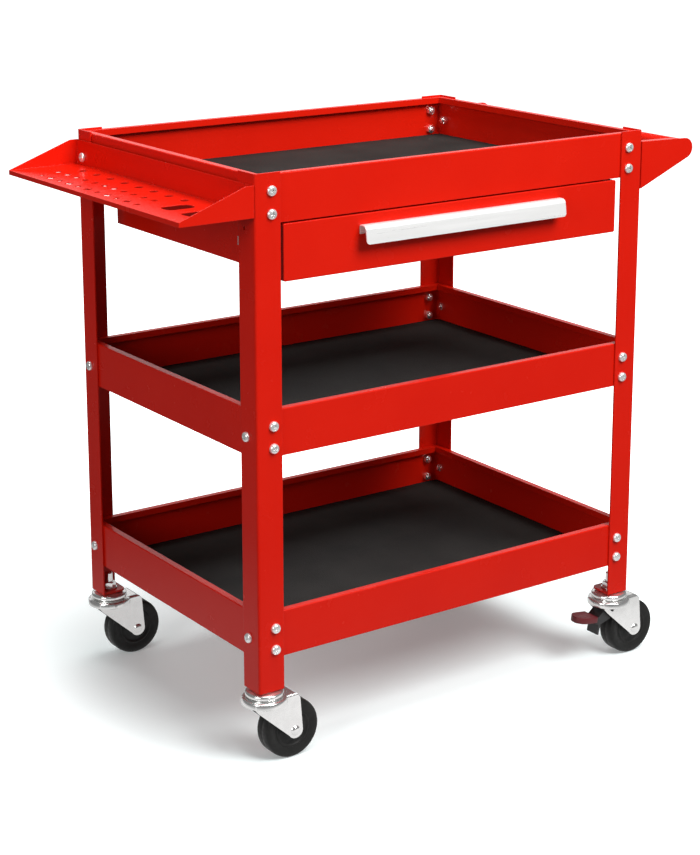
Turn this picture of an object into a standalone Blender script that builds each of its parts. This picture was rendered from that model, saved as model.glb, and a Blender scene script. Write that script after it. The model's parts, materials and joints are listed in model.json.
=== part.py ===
"""Rolling tool cart: three folded-sheet trays bolted inside four angle legs, with one drawer under the top
tray, a perforated tool holder on the left, a tubular push handle on the right and four swivel casters.

Metres, +Z up, floor at z = 0. The drawer opens towards -Y and the push handle is on +X.
"""

import math

import bmesh
import bpy
from mathutils import Matrix, Vector

# Clearance left between pieces that touch on the real cart.
GAP = 0.0003

# Frame of four angle legs, measured over their outer faces.
SPAN_X = 0.592
SPAN_Y = 0.425
LEFT_X = -0.2920
FRONT_Y = -0.2106
RIGHT_X = LEFT_X + SPAN_X
BACK_Y = FRONT_Y + SPAN_Y
LEG_BOTTOM_Z = 0.096
LEG_LENGTH = 0.630
LEG_TOP_Z = LEG_BOTTOM_Z + LEG_LENGTH
LEG_FLANGE = 0.035
LEG_SHEET = 0.002
LEG_BEND = 0.003
FOOT_SHEET = 0.0025
FOOT_SIDE = 0.0345
FOOT_CORNER = 0.008

# Trays: the rim is folded inwards and then down. Heights of the three rims above the floor.
TRAY_RIMS = {"top": LEG_TOP_Z - 0.002, "middle": LEG_TOP_Z - 0.280, "bottom": LEG_TOP_Z - 0.531}
TRAY_SHEET = 0.0012
TRAY_HEIGHT = 0.0575
TRAY_CORNER = 0.004
RIM_WIDTH = 0.0095
RIM_LIP = 0.0085
RIM_BEND = 0.0010
MAT_THICKNESS = 0.002
MAT_MARGIN = 0.0025

# Bolts: two on the long face and one on the short face of each leg, at every tray.
BOLT_RADIUS = 0.003
BOLT_HOLE = BOLT_RADIUS + GAP
BOLT_DROPS = (0.019, 0.046)
BOLT_INSET = 0.023
SIDE_BOLT_DROP = 0.033
SIDE_BOLT_INSET = {"front": 0.022, "rear": 0.016}
HEAD_RADIUS = 0.006
HEAD_HEIGHT = 0.0036
NUT_RADIUS = 0.0058
NUT_HEIGHT = 0.005
BOLT_TIP = 0.003
SPARE_HOLE_DROP = 0.065
SPARE_HOLE = 0.0025
SPARE_BOLT_RADIUS = 0.0022

# Tool holder, hung on the left legs. Heights are below the leg tops.
HOLDER_REACH = 0.0985
HOLDER_SHEET = 0.0012
HOLDER_TOP = 0.0130
HOLDER_SHELF = 0.0445
HOLDER_BOTTOM = 0.0502
HOLDER_SHOULDER = 0.0110
# Tool holes: (distance from the legs, radius, first hole from the front, pitch, count) for each row.
HOLDER_ROWS = (
    (0.024, 0.0058, 0.115, 0.036, 8),
    (0.053, 0.0048, 0.135, 0.0243, 11),
    (0.081, 0.0042, 0.125, 0.0243, 11),
)
# The outer row has a cross-shaped hole at every second place.
CROSS_ROW = 2
CROSS_HALF_LENGTH = 0.0062
CROSS_HALF_WIDTH = 0.0022
# Two large openings near the front for hammer handles.
HOLDER_SLOTS = (0.036, 0.082)
HOLDER_SLOT_HALF = (0.019, 0.013)
HOLDER_SLOT_OFFSET = 0.052

# Push handle, hung on the right legs.
HANDLE_REACH = 0.0770
HANDLE_TIP_RADIUS = 0.0135
HANDLE_AXIS_DROP = 0.0310
HANDLE_TOP = 0.0155
HANDLE_BOTTOM = 0.0770
HANDLE_SHEET = 0.0015
HANDLE_LIP = 0.010
HANDLE_FOOT = 0.032
TUBE_RADIUS = 0.0115
TUBE_WALL = 0.0012

# Drawer. Offsets from the left legs' outer face, the front legs' outer face and the leg tops.
HANGER_OFFSET = 0.0500
HANGER_SHEET = 0.0012
HANGER_BOTTOM = 0.1280
HANGER_FRONT = 0.017
HANGER_BACK = 0.4155
HANGER_TOP_FLANGE = 0.011
HANGER_LOW_FLANGE = 0.008
# Hook slot through each hanger: nearest and furthest from the front, highest and lowest below the leg tops.
HANGER_SLOT = (0.100, 0.1165, 0.0950, 0.1055)
SLIDE_SHEET = 0.0012
SLIDE_DEPTH = 0.0090
SLIDE_CENTRE = 0.0940
SLIDE_HEIGHT = 0.0340
SLIDE_CLEARANCE = 0.0018
SLIDE_FRONT = 0.020
SLIDE_BACK = 0.402
RUNNER_BACK = 0.396
SLIDE_THICKNESS = 0.0112
BOX_TOP = 0.0655
BOX_BOTTOM = 0.1265
BOX_BACK = 0.4080
BOX_SHEET = 0.0010
BOX_RIM = 0.005
DRAWER_SLIT_LEFT = 0.0395
DRAWER_SLIT_RIGHT = 0.0425
DRAWER_TOP = 0.0615
DRAWER_BOTTOM = 0.1293
DRAWER_SETBACK = 0.0010
DRAWER_SHEET = 0.0012
DRAWER_RETURN = 0.012
PULL_LEFT = 0.146
PULL_RIGHT = 0.453
PULL_TOP = 0.0740
PULL_BOTTOM = 0.0957
PULL_DEPTH = 0.0125
PULL_FLARE = 0.0030
PULL_BEND = 0.006
PULL_CORNER = 0.004

# Casters. Heights are below the leg's lower end, and the wheel trails towards +X.
CASTER_INSET = 0.0175
WHEEL_RADIUS = 0.0375
WHEEL_HALF_WIDTH = 0.0130
# The tread has this many flats, and one of them lies on the floor.
WHEEL_STEPS = 28
HALF_STEP = math.pi / WHEEL_STEPS
TREAD_RADIUS = WHEEL_RADIUS / math.cos(HALF_STEP)
AXLE_DROP = LEG_BOTTOM_Z - WHEEL_RADIUS
TRAIL = 0.033
STEM_RADIUS = 0.005
STEM_TOP = 0.0245
FORK_TOP = 0.0105
FORK_SHEET = 0.0020
FORK_INNER = 0.0152
FORK_OUTER = FORK_INNER + FORK_SHEET
DOME_RADIUS = 0.0285
AXLE_RADIUS = 0.0038
BRAKE_PIVOT = (-0.0085, -0.0235)
BRAKE_PIN = 0.0018
LEVER_HALF_WIDTH = 0.0105
CAP_HALF_WIDTH = 0.0135
CAP_END = -0.0625
CAP_START = -0.0310

CORNERS = {
    "front_left": (LEFT_X, FRONT_Y, 1, 1),
    "front_right": (RIGHT_X, FRONT_Y, -1, 1),
    "rear_left": (LEFT_X, BACK_Y, 1, -1),
    "rear_right": (RIGHT_X, BACK_Y, -1, -1),
}
BRAKED = ("front_right", "rear_right")

RED = ("red_powder_coat", (0.60, 0.013, 0.006), 0.25, 0.0)
ZINC = ("bright_zinc", (0.78, 0.78, 0.76), 0.28, 1.0)
POLISHED = ("polished_steel", (0.90, 0.90, 0.89), 0.15, 1.0)
MAT = ("liner_mat", (0.025, 0.023, 0.021), 0.75, 0.0)
TYRE = ("wheel_rubber", (0.018, 0.018, 0.018), 0.55, 0.0)
BLACK = ("black_steel", (0.015, 0.015, 0.016), 0.40, 0.0)
PLASTIC = ("brake_plastic", (0.16, 0.015, 0.020), 0.45, 0.0)


def clear_scene():
    for obj in list(bpy.data.objects):
        bpy.data.objects.remove(obj, do_unlink=True)


def new_collection(name):
    collection = bpy.data.collections.new(name)
    bpy.context.scene.collection.children.link(collection)
    return collection


def material(look):
    name, colour, roughness, metallic = look
    found = bpy.data.materials.get(name)
    if found:
        return found
    made = bpy.data.materials.new(name)
    made.use_nodes = True
    shader = made.node_tree.nodes["Principled BSDF"]
    shader.inputs["Base Color"].default_value = (*colour, 1.0)
    shader.inputs["Roughness"].default_value = roughness
    shader.inputs["Metallic"].default_value = metallic
    made.diffuse_color = (*colour, 1.0)
    return made


def own_material(obj, look):
    """Each sub-part has its own copy of its finish, so that one piece can be changed alone."""
    obj.data.materials.append(material((obj.name + "_" + look[0], *look[1:])))


def add_prism(bm, outline, low, high, axis):
    """Extrude a closed outline. Its coordinates run along the two other axes, in X, Y, Z order."""

    def point(pair, along):
        coordinates = list(pair)
        coordinates.insert("XYZ".index(axis), along)
        return coordinates

    base = bm.faces.new([bm.verts.new(point(pair, low)) for pair in outline])
    grown = bmesh.ops.extrude_face_region(bm, geom=[base])["geom"]
    moved = [item for item in grown if isinstance(item, bmesh.types.BMVert)]
    bmesh.ops.translate(bm, verts=moved, vec=Vector(point((0, 0), high - low)))


def add_cylinder(bm, centre, radius, length, axis, segments):
    quarter = math.pi / 2
    turn = {"X": Matrix.Rotation(quarter, 4, "Y"), "Y": Matrix.Rotation(quarter, 4, "X"), "Z": Matrix()}
    bmesh.ops.create_cone(
        bm, cap_ends=True, segments=segments, radius1=radius, radius2=radius, depth=length,
        matrix=Matrix.Translation(centre) @ turn[axis],
    )


def add_block(bm, low, high):
    size = [b - a for a, b in zip(low, high)]
    middle = [(a + b) / 2 for a, b in zip(low, high)]
    bmesh.ops.create_cube(bm, size=1.0, matrix=Matrix.Translation(middle) @ Matrix.Diagonal((*size, 1.0)))


def arc(centre, radius, first, last, steps):
    """Points on a circle, from one angle in degrees to another."""
    angles = [math.radians(first + (last - first) * step / steps) for step in range(steps + 1)]
    return [(centre[0] + radius * math.cos(a), centre[1] + radius * math.sin(a)) for a in angles]


def hull(points):
    """Convex outline round the points, anticlockwise."""

    def half(ordered):
        kept = []
        for x, y in ordered:
            while len(kept) > 1:
                (ax, ay), (bx, by) = kept[-2:]
                if (bx - ax) * (y - ay) - (by - ay) * (x - ax) > 1e-12:
                    break
                kept.pop()
            kept.append((x, y))
        return kept[:-1]

    ordered = sorted(set(points))
    return half(ordered) + half(ordered[::-1])


def rounded_rectangle(half_x, half_y, radius, steps=2):
    points = []
    for quarter, (side_x, side_y) in enumerate(((1, 1), (-1, 1), (-1, -1), (1, -1))):
        centre = (side_x * (half_x - radius), side_y * (half_y - radius))
        points += arc(centre, radius, 90 * quarter, 90 * quarter + 90, steps)
    return points


def bend(path, bends, steps=3):
    """Round the inner corners of an open path. Bends are radii, one for each corner."""
    points = [path[0]]
    for before, corner, after, radius in zip(path, path[1:], path[2:], bends):
        corner = Vector(corner)
        entry = (Vector(before) - corner).normalized()
        leave = (Vector(after) - corner).normalized()
        half = entry.angle(leave) / 2
        reach = radius / math.tan(half)
        middle = corner + (entry + leave).normalized() * (radius / math.sin(half))
        start = corner + entry * reach - middle
        turn = (corner + leave * reach - middle).angle_signed(start)
        for step in range(steps + 1):
            spun = Matrix.Rotation(turn * step / steps, 2) @ start
            points.append(tuple(middle + spun))
    points.append(path[-1])
    return points


def folded(path, thickness):
    """Outline of a sheet of this thickness on the left of an open path."""
    spots = [Vector(point) for point in path]
    normals = []
    for first, second in zip(spots, spots[1:]):
        along = (second - first).normalized()
        normals.append(Vector((-along.y, along.x)))
    inner = [spots[0] + normals[0] * thickness]
    for spot, before, after in zip(spots[1:-1], normals, normals[1:]):
        mitre = (before + after).normalized()
        inner.append(spot + mitre * (thickness / mitre.dot(after)))
    inner.append(spots[-1] + normals[-1] * thickness)
    return [tuple(point) for point in spots + inner[::-1]]


def add_pan(bm, half_x, half_y, profile, corner):
    """Sweep (inset, height) pairs round a rectangle. The first and last rings are closed by flat faces."""
    rings = []
    for inset, height in profile:
        radius = max(corner - inset, 0.0004)
        outline = rounded_rectangle(half_x - inset, half_y - inset, radius)
        rings.append([bm.verts.new((x, y, height)) for x, y in outline])
    for lower, upper in zip(rings, rings[1:]):
        for index, vertex in enumerate(lower):
            bm.faces.new((lower[index - 1], vertex, upper[index], upper[index - 1]))
    bm.faces.new(rings[0][::-1])
    bm.faces.new(rings[-1])


def mesh_object(name, bm, where=(0, 0, 0)):
    bmesh.ops.recalc_face_normals(bm, faces=bm.faces)
    mesh = bpy.data.meshes.new(name)
    bm.to_mesh(mesh)
    bm.free()
    obj = bpy.data.objects.new(name, mesh)
    obj.location = where
    return obj


def turned_object(name, profile, steps, where=(0, 0, 0), closed=False):
    """A solid of revolution about local Z. The profile is (radius, height) pairs, from top to bottom."""
    mesh = bpy.data.meshes.new(name)
    edges = [(index, index + 1) for index in range(len(profile) - 1)]
    if closed:
        edges.append((len(profile) - 1, 0))
    mesh.from_pydata([(radius, 0, height) for radius, height in profile], edges, [])
    obj = bpy.data.objects.new(name, mesh)
    obj.location = where
    screw = obj.modifiers.new("Turn", "SCREW")
    screw.axis = "Z"
    screw.steps = steps
    screw.render_steps = steps
    screw.use_merge_vertices = True
    screw.merge_threshold = 0.00001
    screw.use_smooth_shade = True
    return obj


def part(obj, look):
    CART.objects.link(obj)
    own_material(obj, look)
    return obj


def helper(obj):
    HELPERS.objects.link(obj)
    obj.hide_render = True
    obj.display_type = "WIRE"
    return obj


def combine(obj, other, operation):
    boolean = obj.modifiers.new(operation.title(), "BOOLEAN")
    boolean.operation = operation
    boolean.solver = "EXACT"
    boolean.object = other


def add_hole(bm, spot, radius, axis, segments=10, length=0.012):
    add_cylinder(bm, spot, radius, length, axis, segments)


def bolt(name, spot, outward, grip, radius=BOLT_RADIUS, steps=10, sunk=0.0):
    """A pan-head bolt with its hex nut. Its head sits on spot, facing outward; grip is the sheets' depth."""
    head = HEAD_RADIUS * radius / BOLT_RADIUS
    nut = NUT_RADIUS * radius / BOLT_RADIUS
    end = grip + NUT_HEIGHT + BOLT_TIP
    profile = [
        (0, HEAD_HEIGHT),
        (head * 0.62, HEAD_HEIGHT * 0.9),
        (head, HEAD_HEIGHT * 0.35),
        (head, -sunk),
        (radius, -sunk),
        (radius, -end),
        (0, -end),
    ]
    turn = Vector((0, 0, 1)).rotation_difference(Vector(outward)).to_euler()
    screw = turned_object(name, profile, steps, spot)
    screw.rotation_euler = turn
    bm = bmesh.new()
    add_cylinder(bm, (0, 0, -grip - NUT_HEIGHT / 2), nut, NUT_HEIGHT, "Z", 6)
    hex_nut = helper(mesh_object(name + "_nut", bm, spot))
    hex_nut.rotation_euler = turn
    combine(screw, hex_nut, "UNION")
    return screw


def bolt_spots(corner, tray):
    """(position on the leg's outer face, outward direction, what it clamps) of the three bolts."""
    x, y, in_x, in_y = CORNERS[corner]
    rim = TRAY_RIMS[tray]
    side_inset = SIDE_BOLT_INSET[corner.split("_")[0]]
    long_face = [((x + in_x * BOLT_INSET, y, rim - drop), (0, -in_y, 0)) for drop in BOLT_DROPS]
    return long_face + [((x, y + in_y * side_inset, rim - SIDE_BOLT_DROP), (-in_x, 0, 0))]


def hole_axis(outward):
    return "X" if outward[0] else "Y"


def make_leg(corner):
    """One angle leg with its welded foot plate. The bolts of the two lower trays are joined to it."""
    x, y, in_x, in_y = CORNERS[corner]
    angle = folded(bend([(0, LEG_FLANGE), (0, 0), (LEG_FLANGE, 0)], [LEG_BEND]), LEG_SHEET)
    bm = bmesh.new()
    add_prism(bm, [(x + in_x * u, y + in_y * v) for u, v in angle], LEG_BOTTOM_Z, LEG_TOP_Z, "Z")
    leg = part(mesh_object("leg_" + corner, bm), RED)
    plate = [(0.001, 0.001), (FOOT_SIDE, 0.001)]
    plate += arc((FOOT_SIDE - FOOT_CORNER, FOOT_SIDE - FOOT_CORNER), FOOT_CORNER, 0, 90, 3)
    plate += [(0.001, FOOT_SIDE)]
    bm = bmesh.new()
    foot = [(x + in_x * u, y + in_y * v) for u, v in plate]
    add_prism(bm, foot, LEG_BOTTOM_Z, LEG_BOTTOM_Z + FOOT_SHEET, "Z")
    combine(leg, helper(mesh_object("foot_plate_" + corner, bm)), "UNION")
    holes = bmesh.new()
    stem = (x + in_x * CASTER_INSET, y + in_y * CASTER_INSET, LEG_BOTTOM_Z)
    add_hole(holes, stem, STEM_RADIUS + GAP, "Z", 12)
    spare_inset = SIDE_BOLT_INSET[corner.split("_")[0]]
    add_hole(holes, (x, y + in_y * spare_inset, LEG_TOP_Z - SPARE_HOLE_DROP), SPARE_HOLE, "X")
    for spot, outward in bolt_spots(corner, "top"):
        add_hole(holes, spot, BOLT_HOLE, hole_axis(outward))
    combine(leg, helper(mesh_object("leg_holes_" + corner, holes)), "DIFFERENCE")
    grip = LEG_SHEET + GAP + TRAY_SHEET + GAP
    for tray in ("middle", "bottom"):
        for number, (spot, outward) in enumerate(bolt_spots(corner, tray), 1):
            name = f"joined_bolt_{corner}_{tray}_{number}"
            joined = helper(bolt(name, spot, outward, grip, steps=8, sunk=0.0005))
            combine(leg, joined, "UNION")


def make_top_bolts(corner):
    """The three bolts that hold the top tray; the side one also clamps the holder or a handle bracket."""
    x, y, in_x, in_y = CORNERS[corner]
    grip = LEG_SHEET + TRAY_SHEET + 3 * GAP
    extra = (HOLDER_SHEET if in_x > 0 else HANDLE_SHEET) + GAP
    for number, (spot, outward) in enumerate(bolt_spots(corner, "top"), 1):
        reach = GAP + (extra if outward[0] else 0)
        seat = [a + b * reach for a, b in zip(spot, outward)]
        part(bolt(f"bolt_{corner}_{number}", seat, outward, grip + reach - GAP), ZINC)


def tray_half_sizes():
    inset = LEG_SHEET + GAP
    return SPAN_X / 2 - inset, SPAN_Y / 2 - inset


def make_tray(tray):
    half_x, half_y = tray_half_sizes()
    height = TRAY_HEIGHT
    inner = RIM_WIDTH - TRAY_SHEET
    profile = [
        (0, 0),
        (0, height - RIM_BEND),
        (RIM_BEND, height),
        (RIM_WIDTH, height),
        (RIM_WIDTH, height - RIM_LIP),
        (inner, height - RIM_LIP),
        (inner, height - TRAY_SHEET),
        (TRAY_SHEET, height - TRAY_SHEET),
        (TRAY_SHEET, TRAY_SHEET),
    ]
    bm = bmesh.new()
    add_pan(bm, half_x, half_y, profile, TRAY_CORNER)
    middle = ((LEFT_X + RIGHT_X) / 2, (FRONT_Y + BACK_Y) / 2)
    low = TRAY_RIMS[tray] - height
    pan = part(mesh_object("tray_" + tray, bm, (*middle, low)), RED)
    holes = bmesh.new()
    for corner in CORNERS:
        for spot, outward in bolt_spots(corner, tray):
            add_hole(holes, spot, BOLT_HOLE, hole_axis(outward), 8)
    combine(pan, helper(mesh_object("tray_holes_" + tray, holes)), "DIFFERENCE")
    bm = bmesh.new()
    inset = TRAY_SHEET + MAT_MARGIN
    add_prism(bm, rounded_rectangle(half_x - inset, half_y - inset, 0.003), 0, MAT_THICKNESS, "Z")
    part(mesh_object("mat_" + tray, bm, (*middle, low + TRAY_SHEET + GAP)), MAT)


def cross_outline(centre, half_length, half_width):
    long, wide = half_length, half_width
    arms = [(long, wide), (wide, wide), (wide, long), (-wide, long), (-wide, wide), (-long, wide)]
    outline = arms + [(-x, -y) for x, y in arms]
    return [(centre[0] + x, centre[1] + y) for x, y in outline]


def make_tool_holder():
    """Folded shelf with three rows of tool holes, an outer lip, a back plate and two triangular ends."""
    outer = LEFT_X - HOLDER_REACH
    back = LEFT_X - GAP
    shelf = LEG_TOP_Z - HOLDER_SHELF
    section = [
        (back, LEG_TOP_Z - HOLDER_TOP),
        (back, shelf - HOLDER_SHEET),
        (outer + HOLDER_SHEET, shelf - HOLDER_SHEET),
        (outer + HOLDER_SHEET, LEG_TOP_Z - HOLDER_BOTTOM),
        (outer, LEG_TOP_Z - HOLDER_BOTTOM),
        (outer, shelf),
        (back - HOLDER_SHEET, shelf),
        (back - HOLDER_SHEET, LEG_TOP_Z - HOLDER_TOP),
    ]
    bm = bmesh.new()
    add_prism(bm, section, FRONT_Y, BACK_Y, "Y")
    holder = part(mesh_object("tool_holder", bm), RED)
    end = [
        (back, LEG_TOP_Z - HOLDER_TOP),
        (back - HOLDER_SHOULDER, LEG_TOP_Z - HOLDER_TOP),
        (outer, shelf),
        (outer, LEG_TOP_Z - HOLDER_BOTTOM),
        (back, LEG_TOP_Z - HOLDER_BOTTOM),
    ]
    for name, low in (("front", FRONT_Y), ("rear", BACK_Y - HOLDER_SHEET)):
        bm = bmesh.new()
        add_prism(bm, end, low, low + HOLDER_SHEET, "Y")
        combine(holder, helper(mesh_object("holder_end_" + name, bm)), "UNION")
    holes = bmesh.new()
    for corner in ("front_left", "rear_left"):
        spot, outward = bolt_spots(corner, "top")[2]
        add_hole(holes, spot, BOLT_HOLE, "X", 8)
    depth = 0.010
    for row, (offset, radius, first, pitch, count) in enumerate(HOLDER_ROWS):
        for number in range(count):
            spot = (LEFT_X - offset, FRONT_Y + first + pitch * number)
            if row == CROSS_ROW and number % 2:
                outline = cross_outline(spot, CROSS_HALF_LENGTH, CROSS_HALF_WIDTH)
                add_prism(holes, outline, shelf - depth, shelf + depth, "Z")
            else:
                add_cylinder(holes, (*spot, shelf), radius, 2 * depth, "Z", 10)
    for centre_y in HOLDER_SLOTS:
        outline = rounded_rectangle(HOLDER_SLOT_HALF[0], HOLDER_SLOT_HALF[1], 0.008, 2)
        outline = [(LEFT_X - HOLDER_SLOT_OFFSET + u, FRONT_Y + centre_y + v) for u, v in outline]
        add_prism(holes, outline, shelf - depth, shelf + depth, "Z")
    combine(holder, helper(mesh_object("holder_holes", holes)), "DIFFERENCE")


def make_handle():
    """Two plates with folded top lips and bolted feet carry a round tube."""
    axis = (RIGHT_X + HANDLE_REACH, LEG_TOP_Z - HANDLE_AXIS_DROP)
    start = RIGHT_X + GAP
    top = LEG_TOP_Z - HANDLE_TOP
    low = LEG_TOP_Z - HANDLE_BOTTOM
    plate = hull([(start, top), (start, low)] + arc(axis, HANDLE_TIP_RADIUS, 0, 345, 23))
    for end, face, inward in (("front", FRONT_Y, 1), ("rear", BACK_Y, -1)):

        def depth(distance, face=face, inward=inward):
            return face + inward * distance

        bm = bmesh.new()
        add_prism(bm, plate, depth(0), depth(HANDLE_SHEET), "Y")
        bracket = part(mesh_object("handle_bracket_" + end, bm), RED)
        slope = (axis[1] + HANDLE_TIP_RADIUS - top) / HANDLE_REACH
        lip_end = HANDLE_REACH - 0.014
        lip = [
            (start, top),
            (start, top - HANDLE_SHEET),
            (start + lip_end, top - HANDLE_SHEET + slope * lip_end),
            (start + lip_end, top + slope * lip_end),
        ]
        bm = bmesh.new()
        add_prism(bm, lip, depth(0), depth(HANDLE_LIP), "Y")
        combine(bracket, helper(mesh_object("handle_lip_" + end, bm)), "UNION")
        bm = bmesh.new()
        foot = sorted((depth(0), depth(HANDLE_FOOT)))
        add_block(bm, (start, foot[0], low), (start + HANDLE_SHEET, foot[1], top))
        combine(bracket, helper(mesh_object("handle_foot_" + end, bm)), "UNION")
        spot, outward = bolt_spots(end + "_right", "top")[2]
        bm = bmesh.new()
        add_hole(bm, spot, BOLT_HOLE, "X", 8)
        combine(bracket, helper(mesh_object("handle_hole_" + end, bm)), "DIFFERENCE")
        seat = (start + HANDLE_SHEET, spot[1], LEG_TOP_Z - SPARE_HOLE_DROP)
        grip = HANDLE_SHEET + LEG_SHEET + 2 * GAP
        lower = bolt("joined_bracket_bolt_" + end, seat, outward, grip, SPARE_BOLT_RADIUS, 8, 0.0005)
        combine(bracket, helper(lower), "UNION")
    length = SPAN_Y - 2 * HANDLE_SHEET - 2 * GAP
    ring = [
        (TUBE_RADIUS, length / 2),
        (TUBE_RADIUS, -length / 2),
        (TUBE_RADIUS - TUBE_WALL, -length / 2),
        (TUBE_RADIUS - TUBE_WALL, length / 2),
    ]
    middle = (axis[0], (FRONT_Y + BACK_Y) / 2, axis[1])
    tube = part(turned_object("handle_tube", ring, 20, middle, closed=True), RED)
    tube.rotation_euler = (math.pi / 2, 0, 0)


def make_drawer_side(side):
    """Fixed hanger and slide channel, and the moving slide member, on one side of the drawer."""
    edge, inward = (LEFT_X, 1) if side == "left" else (RIGHT_X, -1)

    def across(distance):
        return edge + inward * distance

    def section(path, sheet):
        """Folded section from a path of (distance inwards, depth below the leg tops)."""
        return [(across(u), LEG_TOP_Z + v) for u, v in folded([(u, -v) for u, v in path], sheet)]

    top = LEG_TOP_Z - TRAY_RIMS["top"] + TRAY_HEIGHT + GAP
    web = HANGER_OFFSET
    path = [
        (web + HANGER_TOP_FLANGE, top),
        (web, top),
        (web, HANGER_BOTTOM),
        (web + HANGER_LOW_FLANGE, HANGER_BOTTOM),
    ]
    bm = bmesh.new()
    add_prism(bm, section(path, HANGER_SHEET), FRONT_Y + HANGER_FRONT, FRONT_Y + HANGER_BACK, "Y")
    hanger = part(mesh_object("drawer_hanger_" + side, bm), RED)
    bm = bmesh.new()
    slot = sorted((across(web - 0.004), across(web + HANGER_SHEET + GAP / 2)))
    near, far, high, low = HANGER_SLOT
    add_block(bm, (slot[0], FRONT_Y + near, LEG_TOP_Z - low), (slot[1], FRONT_Y + far, LEG_TOP_Z - high))
    combine(hanger, helper(mesh_object("hanger_slot_" + side, bm)), "DIFFERENCE")

    web += HANGER_SHEET + GAP
    half = SLIDE_HEIGHT / 2
    path = [
        (web + SLIDE_DEPTH, SLIDE_CENTRE - half),
        (web, SLIDE_CENTRE - half),
        (web, SLIDE_CENTRE + half),
        (web + SLIDE_DEPTH, SLIDE_CENTRE + half),
    ]
    bm = bmesh.new()
    add_prism(bm, section(path, SLIDE_SHEET), FRONT_Y + SLIDE_FRONT, FRONT_Y + SLIDE_BACK, "Y")
    part(mesh_object("slide_channel_" + side, bm), ZINC)

    face = web + SLIDE_THICKNESS
    half -= SLIDE_SHEET + SLIDE_CLEARANCE
    reach = SLIDE_THICKNESS - SLIDE_SHEET - 0.0030
    path = [
        (face - reach, SLIDE_CENTRE + half),
        (face, SLIDE_CENTRE + half),
        (face, SLIDE_CENTRE - half),
        (face - reach, SLIDE_CENTRE - half),
    ]
    bm = bmesh.new()
    add_prism(bm, section(path, SLIDE_SHEET), FRONT_Y + SLIDE_FRONT, FRONT_Y + RUNNER_BACK, "Y")
    part(mesh_object("slide_runner_" + side, bm), ZINC)


def make_drawer():
    face_y = FRONT_Y + DRAWER_SETBACK
    left = LEFT_X + DRAWER_SLIT_LEFT
    right = RIGHT_X - DRAWER_SLIT_RIGHT
    half_x = (right - left) / 2
    half_z = (DRAWER_BOTTOM - DRAWER_TOP) / 2
    centre_z = LEG_TOP_Z - (DRAWER_BOTTOM + DRAWER_TOP) / 2
    profile = [
        (0.0006, 0),
        (0, 0.0006),
        (0, DRAWER_RETURN),
        (DRAWER_SHEET, DRAWER_RETURN),
        (DRAWER_SHEET, DRAWER_SHEET),
    ]
    bm = bmesh.new()
    add_pan(bm, half_x, half_z, profile, 0.0020)
    front = part(mesh_object("drawer_front", bm, ((left + right) / 2, face_y, centre_z)), RED)
    front.rotation_euler = (-math.pi / 2, 0, 0)

    box_side = HANGER_OFFSET + HANGER_SHEET + GAP + SLIDE_THICKNESS + GAP
    box_front = DRAWER_SETBACK + DRAWER_SHEET + GAP
    half_x = SPAN_X / 2 - box_side
    half_y = (BOX_BACK - box_front) / 2
    height = BOX_BOTTOM - BOX_TOP
    profile = [
        (0, 0),
        (0, height),
        (BOX_RIM, height),
        (BOX_RIM, height - BOX_SHEET),
        (BOX_SHEET, height - BOX_SHEET),
        (BOX_SHEET, BOX_SHEET),
    ]
    bm = bmesh.new()
    add_pan(bm, half_x, half_y, profile, 0.0020)
    middle = ((LEFT_X + RIGHT_X) / 2, FRONT_Y + (BOX_BACK + box_front) / 2, LEG_TOP_Z - BOX_BOTTOM)
    part(mesh_object("drawer_box", bm, middle), RED)

    plate = face_y - GAP
    path = [
        (plate, LEG_TOP_Z - PULL_TOP - 0.011),
        (plate, LEG_TOP_Z - PULL_TOP),
        (plate - PULL_DEPTH, LEG_TOP_Z - PULL_TOP),
        (plate - PULL_DEPTH - PULL_FLARE, LEG_TOP_Z - PULL_BOTTOM),
    ]
    bm = bmesh.new()
    outline = folded(bend(path, [0.0016, PULL_BEND], 4), DRAWER_SHEET)
    add_prism(bm, outline, LEFT_X + PULL_LEFT, LEFT_X + PULL_RIGHT, "X")
    pull = part(mesh_object("drawer_pull", bm), POLISHED)
    half_x = (PULL_RIGHT - PULL_LEFT) / 2
    half_z = 0.030
    outline = rounded_rectangle(half_x + 0.0001, half_z, PULL_CORNER, 4)
    centre = (LEFT_X + (PULL_LEFT + PULL_RIGHT) / 2, LEG_TOP_Z - PULL_BOTTOM - 0.0001 + half_z)
    bm = bmesh.new()
    add_prism(bm, [(centre[0] + u, centre[1] + v) for u, v in outline], plate - 0.05, plate + 0.02, "Y")
    combine(pull, helper(mesh_object("pull_corners", bm)), "INTERSECT")


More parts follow.
